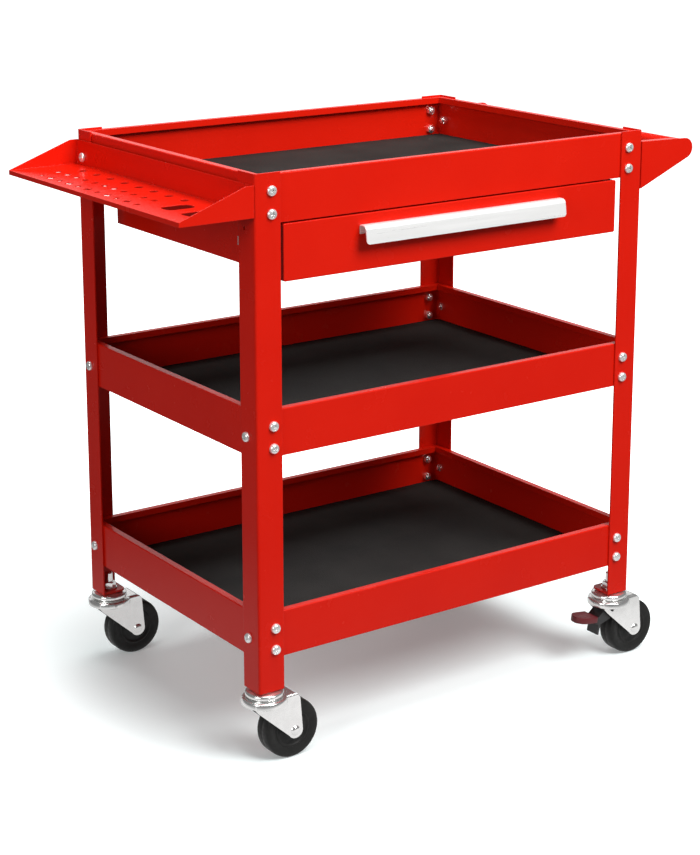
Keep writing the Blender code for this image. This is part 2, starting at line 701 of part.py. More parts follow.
def make_caster(corner):
    x, y, in_x, in_y = CORNERS[corner]
    swivel = (x + in_x * CASTER_INSET, y + in_y * CASTER_INSET, LEG_BOTTOM_Z)
    axle = (swivel[0] + TRAIL, swivel[1], WHEEL_RADIUS)
    race = FORK_TOP - GAP
    under = FORK_TOP + FORK_SHEET + GAP
    profile = [
        (0, STEM_TOP),
        (0.0042, STEM_TOP),
        (STEM_RADIUS, STEM_TOP - 0.001),
        (STEM_RADIUS, -GAP),
        (0.0125, -GAP),
        (0.0225, -0.0030),
        (0.0238, -0.0045),
        (0.0238, -race + 0.0008),
        (0.0228, -race),
        (0.0040, -race),
        (0.0040, -under),
        (0.0075, -under),
        (0.0060, -under - 0.0022),
        (0, -under - 0.0026),
    ]
    part(turned_object("caster_stem_" + corner, profile, 16, swivel), ZINC)

    bm = bmesh.new()
    seat = FOOT_SHEET + GAP
    add_cylinder(bm, (0, 0, seat + 0.0008), 0.0105, 0.0016, "Z", 12)
    nut = part(mesh_object("caster_nut_" + corner, bm, swivel), ZINC)
    bm = bmesh.new()
    add_cylinder(bm, (0, 0, seat + 0.0047), 0.0088, 0.0078, "Z", 6)
    combine(nut, helper(mesh_object("nut_hexagon_" + corner, bm, swivel)), "UNION")
    bm = bmesh.new()
    add_cylinder(bm, (0, 0, seat + 0.005), STEM_RADIUS + GAP, 0.03, "Z", 12)
    combine(nut, helper(mesh_object("nut_bore_" + corner, bm, swivel)), "DIFFERENCE")

    dome = [
        (0.0043, -FORK_TOP),
        (0.0245, -FORK_TOP),
        (0.0272, -FORK_TOP - 0.0010),
        (DOME_RADIUS, -FORK_TOP - 0.0030),
        (DOME_RADIUS, -FORK_TOP - 0.0068),
        (DOME_RADIUS - FORK_SHEET, -FORK_TOP - 0.0068),
        (DOME_RADIUS - FORK_SHEET, -FORK_TOP - FORK_SHEET),
        (0.0043, -FORK_TOP - FORK_SHEET),
    ]
    fork = part(turned_object("caster_fork_" + corner, dome, 24, swivel, closed=True), ZINC)
    arm = hull(
        [(-0.0210, -FORK_TOP - 0.0010), (0.0365, -FORK_TOP - 0.0010), (-0.0222, -0.0180), (-0.0190, -0.0275)]
        + [(0.0385, -FORK_TOP - 0.0060)]
        + arc((TRAIL, -AXLE_DROP), 0.0100, 180, 370, 9)
    )
    for side, low in (("front", -FORK_OUTER), ("rear", FORK_INNER)):
        bm = bmesh.new()
        add_prism(bm, arm, low, low + FORK_SHEET, "Y")
        combine(fork, helper(mesh_object(f"fork_arm_{side}_{corner}", bm, swivel)), "UNION")
    path = [
        (0.0150, -FORK_TOP - 0.0002),
        (0.0345, -FORK_TOP - 0.0002),
        (0.0388, -FORK_TOP - 0.0048),
        (0.0388, -FORK_TOP - 0.0080),
    ]
    hood = folded(path[::-1], FORK_SHEET)
    bm = bmesh.new()
    add_prism(bm, hood, -FORK_OUTER + 0.0002, FORK_OUTER - 0.0002, "Y")
    combine(fork, helper(mesh_object("fork_hood_" + corner, bm, swivel)), "UNION")
    bm = bmesh.new()
    add_cylinder(bm, (TRAIL, 0, -AXLE_DROP), AXLE_RADIUS + GAP, 0.05, "Y", 12)
    if corner in BRAKED:
        spot = (BRAKE_PIVOT[0], 0, BRAKE_PIVOT[1])
        add_cylinder(bm, spot, BRAKE_PIN + GAP, 0.05, "Y", 8)
    combine(fork, helper(mesh_object("fork_holes_" + corner, bm, swivel)), "DIFFERENCE")

    outer = FORK_OUTER + GAP
    pin = [
        (0, outer + 0.0034),
        (0.0044, outer + 0.0032),
        (0.0062, outer + 0.0016),
        (0.0062, outer),
        (AXLE_RADIUS, outer),
        (AXLE_RADIUS, -outer),
        (0.0064, -outer),
        (0.0064, -outer - 0.0045),
        (0, -outer - 0.0050),
    ]
    bolt_pin = part(turned_object("caster_axle_" + corner, pin, 12, axle), ZINC)
    bolt_pin.rotation_euler = (math.pi / 2, 0, 0)

    half = WHEEL_HALF_WIDTH
    side = [
        (AXLE_RADIUS + GAP, 0.0146),
        (0.0090, 0.0146),
        (0.0100, 0.0112),
        (0.0215, 0.0112),
        (0.0235, half),
        (0.0330, half),
        (0.0362, 0.0105),
        (TREAD_RADIUS, 0.0070),
    ]
    ring = side + [(radius, -height) for radius, height in side[::-1]]
    wheel = part(turned_object("caster_wheel_" + corner, ring, WHEEL_STEPS, axle, closed=True), TYRE)
    wheel.rotation_euler = (math.pi / 2, HALF_STEP, 0)
    if corner in BRAKED:
        make_brake(corner, swivel)


def make_brake(corner, swivel):
    """Steel brake lever on a cross pin between the fork arms, with a plastic cap on its pedal end."""
    pivot_x, pivot_z = BRAKE_PIVOT
    origin = (swivel[0] + pivot_x, swivel[1], swivel[2] + pivot_z)
    lever = [
        (-0.0045, -0.0205),
        (-0.0115, -0.0200),
        (-0.0300, -0.0355),
        (-0.0560, -0.0325),
        (-0.0560, -0.0350),
        (-0.0305, -0.0382),
        (-0.0260, -0.0440),
        (-0.0285, -0.0570),
        (-0.0262, -0.0575),
        (-0.0225, -0.0430),
        (-0.0060, -0.0385),
        (-0.0025, -0.0345),
    ]
    bm = bmesh.new()
    outline = [(u - pivot_x, v - pivot_z) for u, v in lever]
    add_prism(bm, outline, -LEVER_HALF_WIDTH, LEVER_HALF_WIDTH, "Y")
    arm = part(mesh_object("brake_lever_" + corner, bm, origin), BLACK)
    bm = bmesh.new()
    add_cylinder(bm, (0, 0, 0), BRAKE_PIN, 2 * FORK_OUTER + 0.003, "Y", 8)
    combine(arm, helper(mesh_object("brake_pin_" + corner, bm, origin)), "UNION")

    rise = (0.0385 - 0.0350) / (0.0560 - 0.0300)
    thick = 0.0042
    middle = -0.0370
    start, end = CAP_START - 0.0005, CAP_END - 0.001
    slab = [
        (start, middle - thick),
        (start, middle + thick),
        (end, middle + thick + rise * (start - end)),
        (end, middle - thick * 0.8 + rise * (start - end)),
    ]
    bm = bmesh.new()
    shape = [(u - pivot_x, v - pivot_z) for u, v in slab]
    add_prism(bm, shape, -CAP_HALF_WIDTH - 0.002, CAP_HALF_WIDTH + 0.002, "Y")
    cap = part(mesh_object("brake_pedal_" + corner, bm, origin), PLASTIC)
    centre = (CAP_END + CAP_HALF_WIDTH - pivot_x, 0)
    plan = arc(centre, CAP_HALF_WIDTH, 90, 270, 10)
    plan += [(CAP_START - pivot_x, -CAP_HALF_WIDTH), (CAP_START - pivot_x, CAP_HALF_WIDTH)]
    bm = bmesh.new()
    add_prism(bm, plan, -0.05, 0.05, "Z")
    combine(cap, helper(mesh_object("pedal_plan_" + corner, bm, origin)), "INTERSECT")
    blade = [
        (-0.0290, -0.0400),
        (-0.0290, -0.0350),
        (-0.0566, -0.0319),
        (-0.0566, -0.0356),
    ]
    bm = bmesh.new()
    shape = [(u - pivot_x, v - pivot_z) for u, v in blade]
    add_prism(bm, shape, -LEVER_HALF_WIDTH - GAP, LEVER_HALF_WIDTH + GAP, "Y")
    combine(cap, helper(mesh_object("pedal_slot_" + corner, bm, origin)), "DIFFERENCE")


clear_scene()
CART = new_collection("rolling_tool_cart")
HELPERS = new_collection("cutters_and_joined_shapes")
for corner_name in CORNERS:
    make_leg(corner_name)
    make_top_bolts(corner_name)
    make_caster(corner_name)
for tray_name in TRAY_RIMS:
    make_tray(tray_name)
make_tool_holder()
make_handle()
make_drawer_side("left")
make_drawer_side("right")
make_drawer()
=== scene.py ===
"""Looks of the rolling tool cart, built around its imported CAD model.

The sheet-metal nodes keep their CAD shapes and get a powder coat. The top tray's bolts, the casters, the
brake pedals, the tube and the drawer pull are replaced by finer shapes in the places that the CAD gives.
The lower bolts are part of the legs and brackets there, and finer ones cover them here.
"""

import json
import math

import bmesh
import bpy
from mathutils import Matrix, Vector


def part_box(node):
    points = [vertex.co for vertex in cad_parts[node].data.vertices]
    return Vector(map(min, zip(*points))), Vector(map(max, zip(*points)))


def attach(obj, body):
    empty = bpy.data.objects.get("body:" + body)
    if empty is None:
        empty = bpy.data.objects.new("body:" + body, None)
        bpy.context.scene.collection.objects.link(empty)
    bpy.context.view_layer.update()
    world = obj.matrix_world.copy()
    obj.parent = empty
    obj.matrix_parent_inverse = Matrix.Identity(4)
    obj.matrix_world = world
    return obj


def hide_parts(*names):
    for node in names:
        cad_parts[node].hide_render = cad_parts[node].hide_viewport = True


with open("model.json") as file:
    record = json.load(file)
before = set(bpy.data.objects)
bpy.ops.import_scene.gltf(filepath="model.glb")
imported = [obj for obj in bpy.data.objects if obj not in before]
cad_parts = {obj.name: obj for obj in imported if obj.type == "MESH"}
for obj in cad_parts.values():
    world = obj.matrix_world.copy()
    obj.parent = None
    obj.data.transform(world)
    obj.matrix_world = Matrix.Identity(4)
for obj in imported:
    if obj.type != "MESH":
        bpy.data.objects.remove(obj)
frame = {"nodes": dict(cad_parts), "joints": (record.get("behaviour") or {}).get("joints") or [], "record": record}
NODES = frame["nodes"]
JOINTS = {joint["name"]: joint for joint in frame["joints"]}
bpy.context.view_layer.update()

# Distance from a leg's outer face to the tray inside it.
LEG_AND_GAP = 0.0023
TRAY_LOW, TRAY_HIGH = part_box("tray_top")
LEFT_X = TRAY_LOW.x - LEG_AND_GAP
RIGHT_X = TRAY_HIGH.x + LEG_AND_GAP
FRONT_Y = TRAY_LOW.y - LEG_AND_GAP
BACK_Y = TRAY_HIGH.y + LEG_AND_GAP
LEG_TOP_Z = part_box("leg_front_left")[1].z

HEAD_RADIUS = 0.0060
HEAD_HEIGHT = 0.0036
NUT_RADIUS = 0.0058
NUT_HEIGHT = 0.005
BOLT_RADIUS = 0.003
BOLT_TIP = 0.003
# Fine bolts are this much larger than the plain ones that they cover.
COVER = 1.035
# Heads over the lower bolts are taller too, so that their recesses stop above the plain heads.
COVER_HEAD_HEIGHT = HEAD_HEIGHT * 1.28
RECESS_FLOOR = HEAD_HEIGHT * 0.42
BOLT_DROPS = (0.019, 0.046)
BOLT_INSET = 0.023
SIDE_BOLT_DROP = 0.033
SIDE_BOLT_INSET = {"front": 0.022, "rear": 0.016}
LOWER_GRIP = 0.0038
BRACKET_BOLT_DROP = 0.065
BRACKET_SEAT = 0.0018
BRACKET_GRIP = 0.0041
BRACKET_BOLT_SCALE = 0.0022 / BOLT_RADIUS

# Slide hooks: behind the front legs' outer faces, below the leg tops, and inwards from the legs' side faces.
HOOK_BACK = 0.1125
HOOK_DROP = 0.10025
HOOK_REACH = (0.0478, 0.0511)

CORNERS = {
    "front_left": (LEFT_X, FRONT_Y, 1, 1),
    "front_right": (RIGHT_X, FRONT_Y, -1, 1),
    "rear_left": (LEFT_X, BACK_Y, 1, -1),
    "rear_right": (RIGHT_X, BACK_Y, -1, -1),
}
BRAKED = ("front_right", "rear_right")


# ---------------------------------------------------------------- materials


class Look:
    """A procedural material on one Principled shader, with its textures in object space."""

    def __init__(self, name, colour, roughness, metallic=0.0, coat=0.0):
        self.material = bpy.data.materials.new(name)
        self.material.use_nodes = True
        self.tree = self.material.node_tree
        self.shader = self.tree.nodes["Principled BSDF"]
        self.put("Base Color", (*colour, 1.0))
        self.put("Roughness", roughness)
        self.put("Metallic", metallic)
        self.put("Coat Weight", coat)
        self.put("Coat Roughness", 0.08)
        self.where = self.add("ShaderNodeTexCoord").outputs["Object"]

    def put(self, socket, value):
        self.shader.inputs[socket].default_value = value

    def add(self, kind, **settings):
        made = self.tree.nodes.new(kind)
        for name, value in settings.items():
            setattr(made, name, value)
        return made

    def join(self, source, target):
        self.tree.links.new(source, target)

    def stretched(self, scale):
        mapping = self.add("ShaderNodeMapping")
        mapping.inputs["Scale"].default_value = scale
        self.join(self.where, mapping.inputs["Vector"])
        return mapping.outputs["Vector"]

    def noise(self, scale, detail=3.0, roughness=0.5, where=None):
        made = self.add("ShaderNodeTexNoise")
        made.inputs["Scale"].default_value = scale
        made.inputs["Detail"].default_value = detail
        made.inputs["Roughness"].default_value = roughness
        self.join(where or self.where, made.inputs["Vector"])
        return made.outputs["Fac"]

    def cells(self, scale):
        made = self.add("ShaderNodeTexVoronoi")
        made.inputs["Scale"].default_value = scale
        self.join(self.where, made.inputs["Vector"])
        return made.outputs["Distance"]

    def ramp(self, value, low, high, start=0.0, end=1.0):
        made = self.add("ShaderNodeMapRange")
        made.inputs["From Min"].default_value = start
        made.inputs["From Max"].default_value = end
        made.inputs["To Min"].default_value = low
        made.inputs["To Max"].default_value = high
        self.join(value, made.inputs["Value"])
        return made.outputs["Result"]

    def mix(self, factor, first, second):
        """Colour between two colours or colour sockets, by a factor socket."""
        made = self.add("ShaderNodeMix", data_type="RGBA")
        self.join(factor, made.inputs["Factor"])
        for name, value in (("A", first), ("B", second)):
            socket = [s for s in made.inputs if s.name == name and s.type == "RGBA"][0]
            if isinstance(value, tuple):
                socket.default_value = (*value, 1.0)
            else:
                self.join(value, socket)
        return [s for s in made.outputs if s.type == "RGBA"][0]

    def colour(self, socket):
        self.join(socket, self.shader.inputs["Base Color"])

    def roughness(self, socket):
        self.join(socket, self.shader.inputs["Roughness"])

    def softened_edges_and_highlight_mask(self, radius):
        """Normal rounded over sharp edges, and a mask that is 1 on them, which the looks use to paint highlights
        on edges.
        """
        rounded = self.add("ShaderNodeBevel", samples=6)
        rounded.inputs["Radius"].default_value = radius
        flat = self.add("ShaderNodeNewGeometry").outputs["Normal"]
        dot = self.add("ShaderNodeVectorMath", operation="DOT_PRODUCT")
        self.join(rounded.outputs["Normal"], dot.inputs[0])
        self.join(flat, dot.inputs[1])
        return rounded.outputs["Normal"], self.ramp(dot.outputs["Value"], 1.0, 0.0, 0.80, 0.995)

    def bump(self, height, distance, strength=1.0, normal=None):
        made = self.add("ShaderNodeBump")
        made.inputs["Strength"].default_value = strength
        made.inputs["Distance"].default_value = distance
        self.join(height, made.inputs["Height"])
        if normal:
            self.join(normal, made.inputs["Normal"])
        self.join(made.outputs["Normal"], self.shader.inputs["Normal"])


def powder_coat():
    """Red powder coat: orange-peel ripple, faint clouding, and a painted highlight: a brighter red on the folds
    and edges.
    """
    look = Look("red_powder_coat_look", (0.66, 0.0105, 0.0028), 0.24)
    look.put("Specular IOR Level", 0.14)
    rounded, edge = look.softened_edges_and_highlight_mask(0.0008)
    clouds = look.ramp(look.noise(9.0, 2.0), 0.0, 1.0, 0.35, 0.65)
    body = look.mix(clouds, (0.648, 0.0098, 0.0026), (0.672, 0.0112, 0.0030))
    specks = look.ramp(look.noise(700.0, 2.0), 0.0, 0.20, 0.50, 0.75)
    body = look.mix(specks, body, (0.58, 0.008, 0.0024))
    # The folds and edges get a lighter red: a painted highlight.
    look.colour(look.mix(edge, body, (0.74, 0.026, 0.014)))
    look.roughness(look.ramp(look.noise(35.0, 4.0), 0.22, 0.28, 0.3, 0.7))
    look.bump(look.noise(420.0, 2.0, 0.4), 0.00005, 0.4, rounded)
    return look.material


def zinc(name, metallic):
    """Bright zinc plating: soft mottling, fine scratches, rounded pressing edges and a painted highlight along
    them.
    """
    look = Look(name, (0.92, 0.92, 0.91), 0.26, metallic=metallic)
    rounded, edge = look.softened_edges_and_highlight_mask(0.0005)
    mottle = look.ramp(look.noise(60.0, 4.0, 0.55), 0.0, 1.0, 0.35, 0.65)
    body = look.mix(mottle, (0.89, 0.89, 0.88), (0.96, 0.96, 0.95))
    # The edges get a paler zinc colour: a painted highlight.
    look.colour(look.mix(edge, body, (0.99, 0.99, 0.98)))
    scratches = look.noise(160.0, 4.0, 0.5, look.stretched((1.0, 1.0, 6.0)))
    look.roughness(look.ramp(scratches, 0.14, 0.24, 0.3, 0.7))
    look.bump(scratches, 0.00001, 0.25, rounded)
    return look.material


def polished():
    """Bright satin steel of the drawer pull, brushed along its length."""
    look = Look("polished_steel_look", (0.97, 0.97, 0.96), 0.30, metallic=0.40)
    brushed = look.noise(220.0, 5.0, 0.6, look.stretched((0.03, 1.0, 1.0)))
    look.colour(look.mix(look.ramp(brushed, 0.0, 1.0, 0.3, 0.7), (0.94, 0.94, 0.93), (0.99, 0.99, 0.98)))
    look.roughness(look.ramp(brushed, 0.24, 0.36, 0.3, 0.7))
    look.bump(brushed, 0.00002, 0.35)
    return look.material


def liner():
    """Charcoal foam liner: a fine closed-cell grain with a few paler flecks."""
    look = Look("liner_mat_look", (0.022, 0.0205, 0.019), 0.78)
    look.put("Specular IOR Level", 0.08)
    grain = look.noise(900.0, 3.0, 0.6)
    cells = look.cells(620.0)
    clouds = look.ramp(look.noise(14.0, 3.0), 0.0, 1.0, 0.3, 0.7)
    body = look.mix(clouds, (0.0185, 0.0170, 0.0158), (0.0270, 0.0250, 0.0232))
    flecks = look.ramp(grain, 0.0, 0.55, 0.60, 0.80)
    look.colour(look.mix(flecks, body, (0.050, 0.047, 0.044)))
    look.roughness(look.ramp(grain, 0.66, 0.88, 0.3, 0.7))
    look.bump(cells, 0.0004, 0.6)
    return look.material


def rubber():
    """Moulded wheel rubber: fine grain, slightly dusty where it is worn."""
    look = Look("wheel_rubber_look", (0.016, 0.016, 0.0155), 0.5)
    look.put("Specular IOR Level", 0.28)
    dust = look.ramp(look.noise(70.0, 5.0, 0.65), 0.0, 0.7, 0.45, 0.75)
    look.colour(look.mix(dust, (0.0095, 0.0095, 0.0090), (0.022, 0.021, 0.0195)))
    look.roughness(look.ramp(look.noise(220.0, 4.0), 0.38, 0.62, 0.3, 0.7))
    look.bump(look.noise(1600.0, 3.0, 0.6), 0.0001, 0.5)
    return look.material


def black_steel():
    """Black painted steel of the brake lever, with a painted highlight on its edges."""
    look = Look("black_steel_look", (0.014, 0.014, 0.015), 0.38, coat=0.2)
    rounded, edge = look.softened_edges_and_highlight_mask(0.0006)
    body = look.mix(look.noise(300.0, 4.0), (0.010, 0.010, 0.011), (0.020, 0.020, 0.021))
    # The edges get a lighter black: a painted highlight.
    look.colour(look.mix(edge, body, (0.045, 0.045, 0.046)))
    look.roughness(look.ramp(look.noise(150.0, 4.0), 0.30, 0.48, 0.3, 0.7))
    look.bump(look.noise(700.0, 2.0), 0.00006, 0.5, rounded)
    return look.material


def brake_plastic():
    """Dark red moulded plastic with a fine spark-eroded grain."""
    look = Look("brake_plastic_look", (0.12, 0.008, 0.012), 0.42)
    body = look.mix(look.noise(120.0, 3.0), (0.095, 0.007, 0.010), (0.150, 0.011, 0.016))
    look.colour(body)
    look.roughness(look.ramp(look.noise(500.0, 3.0), 0.34, 0.55, 0.3, 0.7))
    look.bump(look.noise(1300.0, 2.0), 0.0001, 0.5)
    return look.material


LOOKS = {
    "red_powder_coat": powder_coat(),
    "bright_zinc": zinc("bright_zinc_look", 0.62),
    "polished_steel": polished(),
    "liner_mat": liner(),
    "wheel_rubber": rubber(),
    "black_steel": black_steel(),
    "brake_plastic": brake_plastic(),
}
CASTER_ZINC = zinc("caster_zinc_look", 0.90)


# ---------------------------------------------------------------- mesh helpers


def arc(centre, radius, first, last, steps):
    """Points on a circle, from one angle in degrees to another."""
    angles = [math.radians(first + (last - first) * step / steps) for step in range(steps + 1)]
    return [(centre[0] + radius * math.cos(a), centre[1] + radius * math.sin(a)) for a in angles]


def rounded(path, radii, steps=8):
    """Open path of 2-D points with each inner corner replaced by an arc."""
    made = [path[0]]
    for before, corner, after, radius in zip(path, path[1:], path[2:], radii):
        corner = Vector(corner)
        into = (Vector(before) - corner).normalized()
        out = (Vector(after) - corner).normalized()
        half = into.angle(out) / 2
        centre = corner + (into + out).normalized() * (radius / math.sin(half))
        start = corner + into * (radius / math.tan(half)) - centre
        turn = math.pi - 2 * half
        if into.cross(out) > 0:
            turn = -turn
        for step in range(steps + 1):
            made.append(tuple(centre + Matrix.Rotation(turn * step / steps, 2) @ start))
    return made + [path[-1]]


def folded(path, thickness):
    """Closed outline of a sheet whose outer face follows the path; its body lies on the path's left."""
    points = [Vector(point) for point in path]
    inner = []
    for index, point in enumerate(points):
        before = (point - points[index - 1]).normalized() if index else None
        after = (points[index + 1] - point).normalized() if index + 1 < len(points) else None
        first, second = before or after, after or before
        normal = (Vector((-first.y, first.x)) + Vector((-second.y, second.x))).normalized()
        cosine = normal.dot(Vector((-first.y, first.x)))
        inner.append(point + normal * thickness / cosine)
    return [tuple(p) for p in points] + [tuple(p) for p in inner[::-1]]


def add_prism(bm, outline, low, high, axis):
    """Extrude a closed outline. Its coordinates run along the two other axes, in X, Y, Z order."""

    def point(pair, along):
        coordinates = list(pair)
        coordinates.insert("XYZ".index(axis), along)
        return coordinates

    base = bm.faces.new([bm.verts.new(point(pair, low)) for pair in outline])
    grown = bmesh.ops.extrude_face_region(bm, geom=[base])["geom"]
    moved = [item for item in grown if isinstance(item, bmesh.types.BMVert)]
    bmesh.ops.translate(bm, verts=moved, vec=Vector(point((0, 0), high - low)))


def add_turned(bm, profile, steps, closed=False):
    """Turn a profile of (radius, height) about the local Z axis."""
    rings = []
    for radius, height in profile:
        count = steps if radius > 1e-7 else 1
        ring = []
        for step in range(count):
            angle = 2 * math.pi * step / steps
            ring.append(bm.verts.new((radius * math.cos(angle), radius * math.sin(angle), height)))
        rings.append(ring)
    pairs = list(zip(rings, rings[1:]))
    if closed:
        pairs.append((rings[-1], rings[0]))
    for upper, lower in pairs:
        for step in range(steps):
            corners = [
                upper[step % len(upper)],
                upper[(step + 1) % len(upper)],
                lower[(step + 1) % len(lower)],
                lower[step % len(lower)],
            ]
            bm.faces.new(list(dict.fromkeys(corners)))


def mesh_of(name, bm):
    bmesh.ops.recalc_face_normals(bm, faces=bm.faces)
    mesh = bpy.data.meshes.new(name)
    bm.to_mesh(mesh)
    bm.free()
    return mesh


def new_object(name, mesh):
    made = bpy.data.objects.new(name, mesh)
    bpy.context.scene.collection.objects.link(made)
    return made


def evaluated_mesh(obj):
    """The object's mesh with its modifiers applied. The object itself is removed."""
    graph = bpy.context.evaluated_depsgraph_get()
    mesh = bpy.data.meshes.new_from_object(obj.evaluated_get(graph))
    mesh.name = obj.name
    bpy.data.objects.remove(obj)
    return mesh


def combined(name, mesh, other, operation):
    """EXACT Boolean of two meshes."""
    first = new_object(name, mesh)
    second = new_object(name + "_tool", other)
    boolean = first.modifiers.new("boolean", "BOOLEAN")
    boolean.operation = operation
    boolean.solver = "EXACT"
    boolean.object = second
    bpy.context.view_layer.update()
    made = evaluated_mesh(first)
    bpy.data.objects.remove(second)
    return made


def bevelled(mesh, width, segments=2):
    """The mesh with its edges sharper than 30 degrees bevelled."""
    obj = new_object(mesh.name, mesh)
    modifier = obj.modifiers.new("bevel", "BEVEL")
    modifier.width = width
    modifier.segments = segments
    modifier.limit_method = "ANGLE"
    modifier.angle_limit = math.radians(30)
    bpy.context.view_layer.update()
    return evaluated_mesh(obj)


def shaded(mesh, angle=35):
    """Smooth shading, kept sharp at edges over the angle in degrees."""
    mesh.polygons.foreach_set("use_smooth", [True] * len(mesh.polygons))
    mesh.set_sharp_from_angle(angle=math.radians(angle))
    return mesh


def piece(name, mesh, body, slot, matrix=None, stands_for=(), look=None):
    """A visible piece that rides on a body and takes its finish from a material slot."""
    made = new_object(name, mesh)
    if matrix:
        made.matrix_world = matrix
    if not mesh.materials:
        mesh.materials.append(look or LOOKS[slot])
    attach(made, body)
    if stands_for:
        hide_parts(*stands_for)
    return made


def facing(spot, outward):
    """Places a piece made along +Z so that it faces outward from a point."""
    turn = Vector((0, 0, 1)).rotation_difference(Vector(outward)).to_matrix().to_4x4()
    return Matrix.Translation(spot) @ turn


# ---------------------------------------------------------------- bolts


def head_mesh(top, floor):
    """Pan head with a cross recess, whose bottom is at the floor height."""
    edge = HEAD_RADIUS
    profile = [
        (0, top),
        (edge * 0.40, top * 0.99),
        (edge * 0.66, top * 0.93),
        (edge * 0.84, top * 0.78),
        (edge * 0.95, top * 0.55),
        (edge, top * 0.28),
        (edge, 0.0002),
        (edge * 0.97, 0),
        (0, 0),
    ]
    bm = bmesh.new()
    add_turned(bm, profile, 32)
    head = mesh_of("bolt_head", bm)
    long, wide = edge * 0.52, edge * 0.125
    for u, v in ((long, wide), (wide, long)):
        bm = bmesh.new()
        add_prism(bm, [(-u, -v), (u, -v), (u, v), (-u, v)], floor, top * 2, "Z")
        head = combined("bolt_head", head, mesh_of("recess", bm), "DIFFERENCE")
    head.transform(Matrix.Diagonal((COVER, COVER, COVER, 1.0)))
    return shaded(head)


def nut_mesh(radius, height, bore, tip):
    """Chamfered hex nut with the threaded end of its bolt. Its seat is at 0 and it points towards -Z."""
    bm = bmesh.new()
    bmesh.ops.create_cone(
        bm, cap_ends=True, segments=6, radius1=radius, radius2=radius, depth=height,
        matrix=Matrix.Translation((0, 0, -height / 2)),
    )
    hexagon = mesh_of("nut", bm)
    chamfer = radius * 0.134
    bm = bmesh.new()
    add_turned(
        bm,
        [
            (0, 0.0001),
            (radius - chamfer * 0.6, 0.0001),
            (radius + 0.0002, -chamfer * 0.6),
            (radius + 0.0002, -height + chamfer * 0.7),
            (radius - chamfer, -height),
            (0, -height),
        ],
        36,
    )
    nut = combined("nut", hexagon, mesh_of("nut_chamfer", bm), "INTERSECT")
    end = -height - tip
    profile = [(0, -height + 0.0004), (bore, -height + 0.0004)]
    turns = max(1, int(tip / 0.0007))
    for turn in range(turns):
        at = -height - tip * (turn + 0.5) / turns
        profile += [(bore, at + tip * 0.22 / turns), (bore * 0.90, at - tip * 0.22 / turns)]
    profile += [(bore * 0.82, end), (0, end)]
    bm = bmesh.new()
    add_turned(bm, profile, 24)
    screw = mesh_of("bolt_tip", bm)
    bm = bmesh.new()
    bm.from_mesh(nut)
    bm.from_mesh(screw)
    return shaded(mesh_of("nut_and_tip", bm))


HEAD = head_mesh(HEAD_HEIGHT, RECESS_FLOOR)
COVER_HEAD = head_mesh(COVER_HEAD_HEIGHT, HEAD_HEIGHT)
NUT = nut_mesh(NUT_RADIUS * COVER, NUT_HEIGHT * COVER, BOLT_RADIUS * COVER, BOLT_TIP * COVER)


def add_bolt(name, seat, outward, grip, stands_for=(), scale=1.0):
    """Bolt head on its seat, and its nut and tip on the far side of the sheets."""
    size = Matrix.Scale(scale, 4)
    head = HEAD if stands_for else COVER_HEAD
    piece(name + "_head", head, "chassis", "bright_zinc", facing(seat, outward) @ size, stands_for)
    back = Vector(seat) - Vector(outward) * (grip - 0.0001)
    piece(name + "_nut", NUT, "chassis", "bright_zinc", facing(back, outward) @ size, (), CASTER_ZINC)


def top_bolt(corner, number, outward):
    """One of the bolts that are nodes of their own, in the place that its node gives."""
    node = f"bolt_{corner}_{number}"
    low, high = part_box(node)
    axis = 0 if outward[0] else 1
    seat = (low + high) / 2
    sign = outward[axis]
    seat[axis] = (high[axis] if sign > 0 else low[axis]) - sign * HEAD_HEIGHT
    grip = high[axis] - low[axis] - HEAD_HEIGHT - NUT_HEIGHT - BOLT_TIP
    add_bolt(f"fastener_{corner}_top_{number}", seat, outward, grip, (node,))


def corner_bolts(corner):
    """All bolts of a leg: three to each tray, and the handle bracket's on the right."""
    x, y, in_x, in_y = CORNERS[corner]
    side_inset = SIDE_BOLT_INSET[corner.split("_")[0]]
    for number in (1, 2):
        top_bolt(corner, number, (0, -in_y, 0))
    top_bolt(corner, 3, (-in_x, 0, 0))
    for tray in ("middle", "bottom"):
        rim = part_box("tray_" + tray)[1].z
        for number, drop in enumerate(BOLT_DROPS, 1):
            spot = (x + in_x * BOLT_INSET, y, rim - drop)
            add_bolt(f"fastener_{corner}_{tray}_{number}", spot, (0, -in_y, 0), LOWER_GRIP)
        spot = (x, y + in_y * side_inset, rim - SIDE_BOLT_DROP)
        add_bolt(f"fastener_{corner}_{tray}_3", spot, (-in_x, 0, 0), LOWER_GRIP)
    if in_x < 0:
        spot = (x + BRACKET_SEAT, y + in_y * side_inset, LEG_TOP_Z - BRACKET_BOLT_DROP)
        add_bolt(f"fastener_{corner}_bracket", spot, (1, 0, 0), BRACKET_GRIP, (), BRACKET_BOLT_SCALE)


# ---------------------------------------------------------------- casters

WHEEL_RADIUS = 0.0375
TRAIL = 0.033
AXLE_DROP = 0.0585
FORK_TOP = 0.0105
FORK_SHEET = 0.0020
FORK_OUTER = 0.0172
DOME_RADIUS = 0.0285
# The fork's arms run straight to here and then spread a little towards the back.
CREASE_X = 0.0120
ARM_SPREAD = 0.05
STEM_HOLE = 0.0043
AXLE_RADIUS = 0.0038
PEDAL_HALF = 0.0137
PEDAL_START = -0.0225
PEDAL_END = -0.0542
PEDAL_RISE = (0.0035, 0.0260)
PEDAL_DROP = 0.0135
STEM_NUT_RISE = 0.0028


